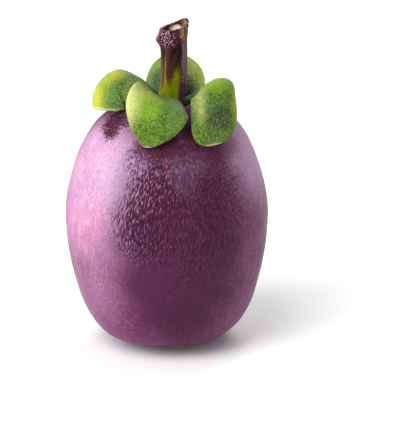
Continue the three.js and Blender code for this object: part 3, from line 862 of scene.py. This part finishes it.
def stem_material(settings):
    """Dark ridged bark, olive green at the foot, speckled at the collar, with pale pith inside the cut."""
    shader = Shader("mangosteen_bark", settings.bark)
    rough = shader.field("rough")
    fibre = shader.noise(0.45, 4.0, 0.1)
    mottle = shader.noise(2.4, 4.0, 0.4, 6.0)
    specks = shader.cells(0.44)
    streaked = paint_bark(shader, settings.tan, fibre)
    paint_green_foot(shader, settings.olive, fibre, mottle, streaked)
    paint_collar(shader, rough, fibre, mottle, specks)
    paint_cut(shader, settings.cream, fibre, mottle, specks)
    roughness = 0.45 + rough * 0.25 + (fibre - 0.5) * 0.2
    coarse = shader.bump((1 - specks) * rough, 0.3)
    return shader.finish(
        roughness, shader.bump(fibre + mottle * 0.3, 0.16, coarse), {"Specular IOR Level": 0.04}
    )


# ---- Sepals ----

# Sepals stand round the crown's centre. Shared base, rim height, and how far round a hood wraps.
CROWN = (1.4, 0.0)
SEPAL_BASE = (5.8, 2.0)
SEPAL_RIM = 0.9
SEPAL_WRAP = math.radians(98)
SEPAL_LIFT_SPREAD = (0.24, 0.55)
SEPAL_GRID = (110, 84)
# The grid is closer together towards the tip and the margins.
GRID_CROWDING = 1.4
# The midline's nodes between base and crest, and between crest and tip, as shares of the way.
BASE_TO_CREST = (0.36, 0.6)
CREST_TO_TIP = 0.42
SWEEP_START = 0.45
# Cross sections take half of their tilt from the blade's middle, and roll between two shares of the length.
BLADE_MIDDLE = 0.55
ROLL_SPAN = (0.05, 0.45)
SLOPE_STEP = 0.01
# The blade's base bends round the stem up to half its length, never tighter than this radius.
BEND_END = 0.5
BEND_RADIUS = 4.0
OUTER_START = 0.5
GROWTH_POWER = 1.2
# The blade thins towards its margins and tip, where it ends round, as it does at its foot.
THINNING = 0.45
THINNING_POWER = 2.5
MARGIN_ROUNDING = 12
TIP_ROUNDING = 14
FOOT_ROUNDING = 0.08
# Keeps the direction of the thickness upward where the blade has no width, in mm.
LEAST_NORMAL = 0.3
# Soft dents in both faces: depth and size in mm.
SEPAL_DENTS = ((0.14, 4.0), (0.05, 1.3))
SEPAL_SINK = 0.04
LOWER_FACE_SHARE = 0.6
RIM_FIELD_START = 0.45
WELD_DISTANCE = 1e-6
SLIVER_DISTANCE = 1e-7
# Per sepal: facing, twist, sweep and roll in degrees, then crest and tip as reach and height in mm. Pairs
# give the clockwise and the counterclockwise side of the midline. The rest are shares and powers of its
# shape, and a lifted spot's height in mm and place.
SEPALS = {
    "sepal_left": SimpleNamespace(
        facing=173.0, twist=13.0, sweep=0.0, roll=-6.0,
        crest=(15.6, 8.2), tip=(22.4, -1.0), fall=0.7,
        neck=(4.0, 2.8), half_width=(6.5, 7.6), depth=(1.0, 1.0),
        spread=0.55, rim_fall=2.1, tip_shape=3.4, tip_point=0.6,
        lift=(-1.8, 0.75, 0.8),
    ),
    "sepal_front": SimpleNamespace(
        facing=-115.0, twist=13.0, sweep=-14.0, roll=-12.0,
        crest=(17.5, 3.7), tip=(23.7, -7.3), fall=0.65,
        neck=(3.0, 2.6), half_width=(6.0, 10.8), depth=(0.5, 0.45),
        spread=0.6, rim_fall=3.6, tip_shape=2.1, tip_point=0.65,
        lift=(4.5, 0.3, -0.8),
    ),
    "sepal_right": SimpleNamespace(
        facing=-30.0, twist=-24.0, sweep=-14.0, roll=15.0,
        crest=(17.2, 7.9), tip=(22.8, -7.6), fall=0.55,
        neck=(1.6, 4.2), half_width=(7.5, 7.1), depth=(0.3, 1.0),
        spread=0.6, rim_fall=2.0, tip_shape=5.9, tip_point=0.45,
        lift=(-1.4, 0.2, -0.2),
    ),
    "sepal_back": SimpleNamespace(
        facing=76.0, twist=16.0, sweep=-14.0, roll=9.0,
        crest=(17.2, 9.6), tip=(25.6, -8.0), fall=0.85,
        neck=(5.0, 4.4), half_width=(8.6, 7.3), depth=(0.7, 0.8),
        spread=0.55, rim_fall=1.2, tip_shape=2.1, tip_point=0.45,
        lift=(0.0, 0.5, 0.0),
    ),
}

SEPAL_LIGHTS = (
    # Yellow-green where the blades are thin, and painted highlight where they catch the light, with a gold
    # painted highlight on the left blade.
    Layer((0.47, 0.50, 0.030), 0.8, (
        Patch((-21.5, -4.0, 76.0), (4.4, 10.0, 6.5), 0.8, 0.2, 2.5),
        Patch((-15.0, -2.5, 82.4), (6.5, 7.0, 3.0), 0.7, 0.2, 2.5, 0.9),
        Patch((-4.4, -15.5, 78.0), (3.8, 5.5, 2.6), 0.6, 0.3, 2.0, 0.8),
        Patch((20.4, -11.0, 74.5), (1.7, 8.0, 9.0), 0.6, 0.2, 2.0, 0.7),
    )),
    Layer((0.60, 0.54, 0.04), 0.5, (
        Patch((-21.0, -4.5, 73.5), (2.8, 6.0, 4.0), 0.6, 0.2, 2.0),
        Patch((-17.0, -1.5, 79.6), (4.5, 5.0, 2.4), 0.6, 0.2, 2.0, 0.8),
    )),
    # A cool green spot low on the left blade.
    Layer((0.035, 0.140, 0.018), 0.5, (
        Patch((-14.0, -6.5, 74.6), (4.0, 6.0, 3.2), 0.6, 0.3, 2.0),
    )),
    # Painted highlight: brighter green over the right blade's crest and on the middle of the front one.
    Layer((0.21, 0.37, 0.008), 0.7, (
        Patch((15.0, -11.0, 80.0), (6.5, 7.0, 3.4), 0.5, 0.3, 2.0),
        Patch((-4.6, -18.5, 74.8), (4.0, 6.0, 4.4), 0.6, 0.3, 2.0, 0.8),
    )),
    # Painted highlight: pale bands down the lit left side of the front and the right blade.
    Layer((0.68, 0.68, 0.25), 0.85, (
        Patch((-10.0, -15.5, 77.0), (3.0, 8.0, 7.5), 0.75, 0.15, 2.0),
        Patch((10.0, -17.2, 74.4), (1.4, 4.0, 4.4), 0.9, 0.2, 2.0, 0.6),
    )),
)
BACK_INNER_FACE = Patch((1.7, 10.0, 73.0), (7.6, 30.0, 8.0), 0.25, 0.2, 2.0)
SEPAL_SHADE_LIGHT_AND_BRUISE = (
    # Painted light on the left side of the back blade.
    Layer((0.19, 0.27, 0.05), 0.6, (
        Patch((-5.5, 13.0, 78.5), (2.8, 6.0, 4.5), 0.5, 0.3, 2.0),
    )),
    # Painted shade in the hollows round the stem.
    Layer((0.022, 0.055, 0.028), 0.85, (
        Patch((-2.6, 8.0, 74.0), (4.2, 8.0, 4.8), 0.5, 0.3, 1.5),
        Patch((6.5, 3.0, 73.6), (2.4, 6.0, 2.6), 0.5, 0.3, 1.5, 0.8),
        Patch((6.0, -8.0, 75.2), (2.8, 9.0, 2.8), 0.4, 0.2, 1.5),
    )),
    # Dull green low on the blades, partly painted shade.
    Layer((0.085, 0.155, 0.042), 0.6, (
        Patch((4.2, -19.5, 72.5), (3.8, 6.0, 5.5), 0.5, 0.4, 2.0),
        Patch((13.2, -16.7, 74.0), (2.8, 4.0, 2.8), 0.5, 0.3, 2.0),
        Patch((15.5, -18.5, 67.0), (5.5, 5.0, 3.6), 0.5, 0.3, 2.0, 0.8),
        Patch((-14.0, -8.0, 71.8), (4.0, 5.0, 2.6), 0.5, 0.3, 2.0, 0.9),
    )),
    # The bruise on the right blade.
    Layer((0.030, 0.038, 0.030), 0.85, (
        Patch((15.0, -17.0, 70.6), (3.4, 5.0, 3.4), 0.45, 0.4, 1.0),
    )),
)
# Painted shade at the foot of the right blade, beside the stem.
SEPAL_FOOT_SHADE = Layer((0.010, 0.030, 0.012), 0.8, (
    Patch((7.0, -9.0, 75.4), (3.2, 6.0, 2.8), 0.3, 0.2, 1.5),
))
LEFT_HEM = Patch((-16.0, -7.5, 71.0), (6.5, 5.0, 3.0), 0.4, 0.2, 1.5)
SEPAL_COLOURS = SimpleNamespace(
    light_tuft=(0.22, 0.38, 0.030),
    back_face=(0.060, 0.160, 0.012),
    back_fleck=(0.36, 0.54, 0.22),
    back_rim_highlight=(0.48, 0.55, 0.032),
    light_hair=(0.36, 0.50, 0.10),
)
SEPAL_SURFACE = {
    "Specular IOR Level": 0.15,
    "Sheen Weight": 0.06,
    "Sheen Roughness": 0.4,
    "Subsurface Weight": 0.08,
    "Subsurface Radius": (0.004, 0.006, 0.001),
    "Subsurface Scale": 0.4,
}


def spline(nodes, along):
    """A smooth curve through the nodes, at shares of its length in equal steps per node."""
    nodes = np.array(nodes)
    spans = len(nodes) - 1
    padded = np.vstack([2 * nodes[0] - nodes[1], nodes, 2 * nodes[-1] - nodes[-2]])
    place = np.clip(along, 0.0, 1.0) * spans
    span = np.minimum(place.astype(int), spans - 1)
    t = (place - span)[:, None]
    before, start, end, after = (padded[span + step] for step in range(4))
    leave, arrive = 0.5 * (end - before), 0.5 * (after - start)
    cubic = 2 * start - 2 * end + leave + arrive
    square = -3 * start + 3 * end - 2 * leave - arrive
    return cubic * t**3 + square * t**2 + leave * t + start


def sepal_facing(sepal, along):
    """The direction in which the midline goes out, in radians."""
    sweep = sepal.sweep * rise(along - SWEEP_START, 2)
    return np.radians(sepal.facing + sepal.twist * along + sweep)


def sepal_midline(sepal, along):
    """Reach and height of the midline, from the neck over the crest to the tip."""
    base, crest, tip = np.array(SEPAL_BASE), np.array(sepal.crest), np.array(sepal.tip)
    rising = base + (crest - base) * BASE_TO_CREST
    falling = crest + (tip - crest) * (sepal.fall, CREST_TO_TIP)
    return spline([base, rising, crest, falling, tip], along).T


def sepal_middle(sepal, along, top):
    """Points of the midline."""
    reach, height = sepal_midline(sepal, along)
    angle = sepal_facing(sepal, along)
    x, y = CROWN[0] + reach * np.cos(angle), CROWN[1] + reach * np.sin(angle)
    return np.stack([x, y, top + height], axis=-1)


def sideways(sepal, along):
    """The level direction across the midline, towards the counterclockwise side."""
    angle = sepal_facing(sepal, along)
    return np.stack([-np.sin(angle), np.cos(angle), 0 * angle], axis=-1)


def upper_face_direction(sepal, along, top):
    """The direction out of the upper face, along the midline."""
    ahead = sepal_middle(sepal, np.minimum(1.0, along + SLOPE_STEP), top)
    forward = ahead - sepal_middle(sepal, np.maximum(0.0, along - SLOPE_STEP), top)
    return unit(np.cross(forward, sideways(sepal, along)))


def sepal_sections(sepal, along, top):
    """The middle, the sideways direction and the outward direction of each cross section."""
    shared = upper_face_direction(sepal, np.array([BLADE_MIDDLE]), top)
    out = unit(upper_face_direction(sepal, along, top) + shared)
    across = sideways(sepal, along)
    across = unit(across - (across * out).sum(axis=-1, keepdims=True) * out)
    roll = (math.radians(sepal.roll) * ramp(along, *ROLL_SPAN))[:, None]
    rolled = across * np.cos(roll) + out * np.sin(roll)
    return sepal_middle(sepal, along, top), rolled, out * np.cos(roll) - across * np.sin(roll)


def between_sides(pair, sine):
    """A value that changes smoothly from the clockwise side to the counterclockwise side."""
    clockwise, counterclockwise = pair
    return clockwise + (counterclockwise - clockwise) * (0.5 + 0.5 * sine)


def bend_round_stem(points, sepal, along):
    """Bends the base of a sepal round the stem, less and less towards the middle of the blade."""
    angle = sepal_facing(sepal, along)
    reach = np.maximum(sepal_midline(sepal, along)[0], BEND_RADIUS)[:, None]
    share = (1 - ramp(along, 0.0, BEND_END))[:, None]
    cosine, sine = np.cos(angle)[:, None], np.sin(angle)[:, None]
    from_x, from_y = points[..., 0] - CROWN[0], points[..., 1] - CROWN[1]
    out, aside = from_x * cosine + from_y * sine, from_y * cosine - from_x * sine
    turn = aside / reach
    bent_out = out * (1 - share) + out * np.cos(turn) * share
    bent_aside = aside * (1 - share) + out * np.sin(turn) * share
    x = CROWN[0] + bent_out * cosine - bent_aside * sine
    y = CROWN[1] + bent_out * sine + bent_aside * cosine
    return np.stack([x, y, points[..., 2]], axis=-1)


def sepal_thickness(along, side):
    """The blade's thickness as a share of its full one, which thins to its margins, tip and foot."""
    outer = rise((along - OUTER_START) / (1 - OUTER_START), 1)
    margin = (1 - THINNING * np.abs(side) ** THINNING_POWER) * rise(1 - np.abs(side) ** MARGIN_ROUNDING, 0.5)
    tip = (1 - THINNING * outer**THINNING_POWER) * rise(1 - outer**MARGIN_ROUNDING, 0.5)
    foot = rise(1 - rise((FOOT_ROUNDING - along) / FOOT_ROUNDING, 2), 0.5)
    return margin[None] * tip * foot


def sepal_points(sepal, thickness, top):
    """Both faces of a sepal as one closed grid each, with fields for its finish."""
    rows, columns = SEPAL_GRID
    along = 1 - (1 - np.linspace(0, 1, rows + 1)) ** GRID_CROWDING
    share = np.linspace(-1, 1, columns + 1)
    side = np.sign(share) * (1 - (1 - np.abs(share)) ** GRID_CROWDING)
    middle, across, out = sepal_sections(sepal, along, top)
    height = sepal_midline(sepal, along)[1][:, None]
    length_share = along[:, None]
    sine, cosine = np.sin(side * SEPAL_WRAP)[None], np.cos(side * SEPAL_WRAP)[None]

    grown = np.sin(np.clip(length_share / sepal.spread, 0, 1) * math.pi / 2) ** GROWTH_POWER
    outer = rise((length_share - OUTER_START) / (1 - OUTER_START), sepal.tip_shape)
    ending = rise(1 - outer, sepal.tip_point)
    neck = between_sides(sepal.neck, sine)
    width = (neck + (between_sides(sepal.half_width, sine) - neck) * grown) * ending
    rim_height = SEPAL_RIM + (sepal.tip[1] - SEPAL_RIM) * length_share ** sepal.rim_fall
    hang = rise(height - rim_height, 1) / (1 - math.cos(SEPAL_WRAP)) * between_sides(sepal.depth, sine)
    end = rise(1 - length_share**TIP_ROUNDING, 0.5)
    lift, lift_along, lift_side = sepal.lift
    away_along = (length_share - lift_along) / SEPAL_LIFT_SPREAD[0]
    away_side = (side[None] - lift_side) / SEPAL_LIFT_SPREAD[1]
    raised = lift * np.exp(-(np.hypot(away_along, away_side) ** 2)) * end

    thick = sepal_thickness(length_share, side)
    normal_x, normal_y = hang * end * sine, width * cosine + LEAST_NORMAL
    offset = thickness / 2 * thick / np.hypot(normal_x, normal_y)
    faces = []
    for face in (1, -1):
        x = width * sine + face * offset * normal_x
        y = raised - hang * end * (1 - cosine) + face * offset * normal_y
        flat = middle[:, None] + across[:, None] * x[..., None] + out[:, None] * y[..., None]
        faces.append(bend_round_stem(flat, sepal, along))
    upper, lower = faces
    dents = sum(relief(upper, size) * depth for depth, size in SEPAL_DENTS)
    outward = unit(upper - lower + out[:, None] * TINY)
    shift = outward * ((dents - SEPAL_SINK) * thick)[..., None]

    towards_tip = rise((length_share - RIM_FIELD_START) / (1 - RIM_FIELD_START), 2.5)
    rim = np.maximum(np.abs(side)[None] ** 2 + 0 * length_share, towards_tip)
    return upper + shift, lower + LOWER_FACE_SHARE * shift, rim


def sepal_faces(rows, columns, first, flip):
    """Quads of one face's grid, whose points start at the given index."""
    faces = []
    for row in range(rows):
        for column in range(columns):
            a = first + row * (columns + 1) + column
            b, c, d = a + columns + 1, a + columns + 2, a + 1
            faces.append((a, d, c, b) if flip else (a, b, c, d))
    return faces


def weld(piece):
    """Joins the two faces of a sepal along its margin."""
    mesh = bmesh.new()
    mesh.from_mesh(piece.data)
    bmesh.ops.remove_doubles(mesh, verts=mesh.verts, dist=WELD_DISTANCE)
    bmesh.ops.dissolve_degenerate(mesh, edges=mesh.edges, dist=SLIVER_DISTANCE)
    bmesh.ops.recalc_face_normals(mesh, faces=mesh.faces)
    mesh.to_mesh(piece.data)
    mesh.free()


def paint_blade(shader, settings, hairs, mottle, tufts):
    """Mottled velvet green with light and dark tufts, which turns yellow towards the margins, more so higher
    up as painted light, and takes the painted highlights.
    """
    height = shader.part("Z")
    shader.paint(shader.step(mottle + (hairs - 0.5) * 0.5, 0.38, 0.68) * 0.55, settings.deep)
    shader.paint(shader.step(tufts, 0.48, 0.36) * 0.45, settings.deep)
    shader.paint(shader.step(tufts, 0.52, 0.64) * 0.35, SEPAL_COLOURS.light_tuft)
    # Yellow near the margins: partly their own colour, and stronger higher up as painted light.
    near_rim = shader.step(shader.field("rim") + (mottle - 0.5) * 0.6, 0.3, 0.95)
    shader.paint(near_rim * (0.05 + shader.step(height, 72.0, 78.0) * 0.5), settings.yellow)
    # Painted highlights on the blades, and a cool green spot.
    shader.paint_layers(SEPAL_LIGHTS)


def paint_back_blade(shader, deep, tufts):
    """The flecked inner face of the back sepal, and its rim behind the stem painted yellow as a highlight.
    """
    depth = shader.part("Y")
    behind = shader.step(depth, 1.0, 4.0) * shader.step(depth, 17.0, 12.0)
    behind = behind * shader.step(shader.part("X"), -8.0, -5.0)
    inner = behind * shader.patch(BACK_INNER_FACE)
    shader.paint(inner * 0.6, SEPAL_COLOURS.back_face)
    shader.paint(inner * shader.step(tufts, 0.48, 0.38) * 0.6, deep)
    shader.paint(inner * shader.step(tufts, 0.51, 0.60) * 0.6, SEPAL_COLOURS.back_fleck)
    # Painted highlight on the back sepal's rim.
    shader.paint(behind * (1 - inner) * 0.75, SEPAL_COLOURS.back_rim_highlight)


def paint_hem(shader, cream, grain):
    """The thin cream margin, and the hem of the left sepal."""
    margin = shader.step(shader.field("rim") + (grain - 0.5) * 0.16, 0.91, 0.99)
    hem = shader.patch(LEFT_HEM) * shader.step(shader.part("Z") + (grain - 0.5) * 0.6, 71.4, 70.9)
    shader.paint(shader.widest(margin, hem) * 0.7, cream)


def sepal_material(settings):
    """Fleshy velvet green with painted yellow highlights, painted shade in the hollows, one bruise, fine
    hairs and a cream margin.
    """
    shader = Shader("mangosteen_sepal", settings.green)
    grain = shader.noise(0.38, 4.0, 0.5)
    hairs = shader.slanted(0.26, 0.25, 0.36)
    mottle = shader.noise(3.6, 3.0, shift=2.0)
    tufts = shader.noise(0.75, 3.0, 0.6, 4.0)
    paint_blade(shader, settings, hairs, mottle, tufts)
    paint_back_blade(shader, settings.deep, tufts)
    # Painted light and shade on the blades, and the bruise.
    shader.paint_layers(SEPAL_SHADE_LIGHT_AND_BRUISE)
    tips = hairs + (grain - 0.5) * 0.3
    shader.paint(shader.step(tips, 0.49, 0.62) * 0.32, SEPAL_COLOURS.light_hair)
    shader.paint(shader.step(tips, 0.49, 0.38) * 0.42, settings.deep)
    # Painted shade at the right blade's foot.
    shader.paint_layers((SEPAL_FOOT_SHADE,))
    shader.paint(shader.field("under") * 0.6, settings.deep)
    paint_hem(shader, settings.cream, grain)
    return shader.finish(0.55 + (grain - 0.5) * 0.2, shader.bump(grain * 0.6 + hairs, 0.2), SEPAL_SURFACE)


# ---- Stage ----

TARGET = Vector((12.2, 0.0, 36.9)) * MM
# Focal length in pixels of a render 433 pixels tall, and the camera's sensor in mm.
FOCAL_PIXELS = 1780
RENDER_HEIGHT = 433
SENSOR = 36.0
# Half the floor's side in metres, and its corners as shares of it.
FLOOR_REACH = 4.0
FLOOR_CORNERS = ((-1, -1), (1, -1), (1, 1), (-1, 1))
WORLD_STRENGTH = 0.5
# Soft boxes: place and size in metres, then power as a share of the key power.
SOFT_BOXES = {
    "side_box": ((-0.66, -0.45, 0.34), (0.60, 0.60), 1.0),
    "top_box": ((-0.50, -0.60, 1.20), (0.90, 0.90), 2.0),
    "back_box": ((0.35, 1.10, 0.95), (0.90, 0.70), 1.6),
}


def aimed(data, name, location):
    """Adds a camera or a light that looks at the target."""
    thing = add_object(name, data)
    thing.location = location
    thing.rotation_euler = (TARGET - Vector(location)).to_track_quat("-Z", "Y").to_euler()
    return thing


def soft_box(name, location, size, power):
    data = bpy.data.lights.new(name, "AREA")
    data.shape = "RECTANGLE"
    data.size, data.size_y = size
    data.energy = power
    aimed(data, name, location)


def floor_material(settings):
    shader = Shader("stage_floor", settings.floor)
    return shader.finish(0.7, shader.bump(shader.noise(40.0), 0.01))


def make_floor(settings):
    mesh = bpy.data.meshes.new("floor")
    mesh.from_pydata([(x * FLOOR_REACH, y * FLOOR_REACH, 0.0) for x, y in FLOOR_CORNERS], [], [(0, 1, 2, 3)])
    mesh.materials.append(floor_material(settings))
    floor = add_object("floor", mesh)


def make_world(strength):
    world = bpy.data.worlds.new("studio")
    bpy.context.scene.world = world
    world.use_nodes = True
    background = world.node_tree.nodes["Background"]
    background.inputs["Color"].default_value = (1.0, 1.0, 1.0, 1.0)
    background.inputs["Strength"].default_value = strength


# ---- Operators ----


class MANGOSTEEN_OT_stage(bpy.types.Operator):
    """Add the floor, the soft studio lights and the camera"""

    bl_idname = "mangosteen.stage"
    bl_label = "Stage"

    def execute(self, context):
        settings = context.scene.mangosteen_stage
        back = Vector((0.0, -math.cos(settings.elevation), math.sin(settings.elevation)))
        camera = bpy.data.cameras.new("camera")
        camera.sensor_width = SENSOR
        camera.lens = SENSOR * FOCAL_PIXELS / RENDER_HEIGHT
        context.scene.camera = aimed(camera, "camera", TARGET + back * settings.distance)
        context.scene.view_settings.view_transform = "Standard"
        make_floor(settings)
        make_world(WORLD_STRENGTH)
        for name, (location, size, share) in SOFT_BOXES.items():
            soft_box(name, location, size, share * settings.key_power)
        return {"FINISHED"}


class MANGOSTEEN_OT_fruit(bpy.types.Operator):
    """Add the fruit with its pitted rind, its bloom and its painted sheen"""

    bl_idname = "mangosteen.fruit"
    bl_label = "Fruit"

    def execute(self, context):
        settings = context.scene.mangosteen_fruit
        grid = fruit_points(settings.radius / MM, settings.bottom / MM, settings.top / MM)
        make_ringed_piece("rind", "fruit_body", rind_material(settings), grid)
        return {"FINISHED"}


class MANGOSTEEN_OT_rosette(bpy.types.Operator):
    """Add the woody stigma rosette under the fruit"""

    bl_idname = "mangosteen.rosette"
    bl_label = "Stigma rosette"

    def execute(self, context):
        settings = context.scene.mangosteen_rosette
        thickness = (ROSETTE_HIGH[2] - ROSETTE_LOW[2]) / MM
        grid = rosette_points(settings.lobes, settings.radius / MM, settings.notch / MM, thickness)
        make_ringed_piece("rosette", "stigma_rosette", rosette_material(settings), grid)
        return {"FINISHED"}


class MANGOSTEEN_OT_stem(bpy.types.Operator):
    """Add the leaning stem with its ridged bark and hollow cut end"""

    bl_idname = "mangosteen.stem"
    bl_label = "Stem"

    def execute(self, context):
        settings = context.scene.mangosteen_stem
        grid, fields = stem_points(settings.radius / MM, settings.cut_height / MM)
        make_ringed_piece("bark", "stem", stem_material(settings), grid, fields)
        return {"FINISHED"}


class MANGOSTEEN_OT_sepals(bpy.types.Operator):
    """Add the four fleshy sepals that hang over the fruit's shoulder"""

    bl_idname = "mangosteen.sepals"
    bl_label = "Sepals"

    def execute(self, context):
        settings = context.scene.mangosteen_sepal
        material = sepal_material(settings)
        for node, sepal in SEPALS.items():
            upper, lower, rim = sepal_points(sepal, settings.thickness / MM, FRUIT_HIGH[2] / MM)
            points = np.vstack([upper.reshape(-1, 3), lower.reshape(-1, 3)])
            faces = sepal_faces(*SEPAL_GRID, 0, False) + sepal_faces(*SEPAL_GRID, rim.size, True)
            fields = {"rim": np.tile(rim.ravel(), 2), "under": np.repeat([0.0, 1.0], rim.size)}
            name = node.replace("sepal_", "blade_")
            weld(make_piece(name, node, material, points, faces, fields))
        return {"FINISHED"}


class MANGOSTEEN_PT_panel(bpy.types.Panel):
    """Buttons for each piece of the mangosteen"""

    bl_idname = "MANGOSTEEN_PT_panel"
    bl_label = "Mangosteen"
    bl_space_type = "VIEW_3D"
    bl_region_type = "UI"
    bl_category = "Mangosteen"

    def draw(self, context):
        for operator in OPERATORS:
            self.layout.operator(operator.bl_idname)


SETTINGS = {
    "mangosteen_stage": StageSettings,
    "mangosteen_fruit": FruitSettings,
    "mangosteen_rosette": RosetteSettings,
    "mangosteen_stem": StemSettings,
    "mangosteen_sepal": SepalSettings,
}
OPERATORS = (
    MANGOSTEEN_OT_stage,
    MANGOSTEEN_OT_fruit,
    MANGOSTEEN_OT_rosette,
    MANGOSTEEN_OT_stem,
    MANGOSTEEN_OT_sepals,
)


def register():
    for kind in (*SETTINGS.values(), *OPERATORS, MANGOSTEEN_PT_panel):
        bpy.utils.register_class(kind)
    for name, settings in SETTINGS.items():
        setattr(bpy.types.Scene, name, PointerProperty(type=settings))


def unregister():
    for name in SETTINGS:
        delattr(bpy.types.Scene, name)
    for kind in (MANGOSTEEN_PT_panel, *OPERATORS, *SETTINGS.values()):
        bpy.utils.unregister_class(kind)


def main():
    """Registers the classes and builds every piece."""
    register()
    bpy.ops.mangosteen.stage()
    bpy.ops.mangosteen.fruit()
    bpy.ops.mangosteen.rosette()
    bpy.ops.mangosteen.stem()
    bpy.ops.mangosteen.sepals()


if __name__ == "__main__":
    main()
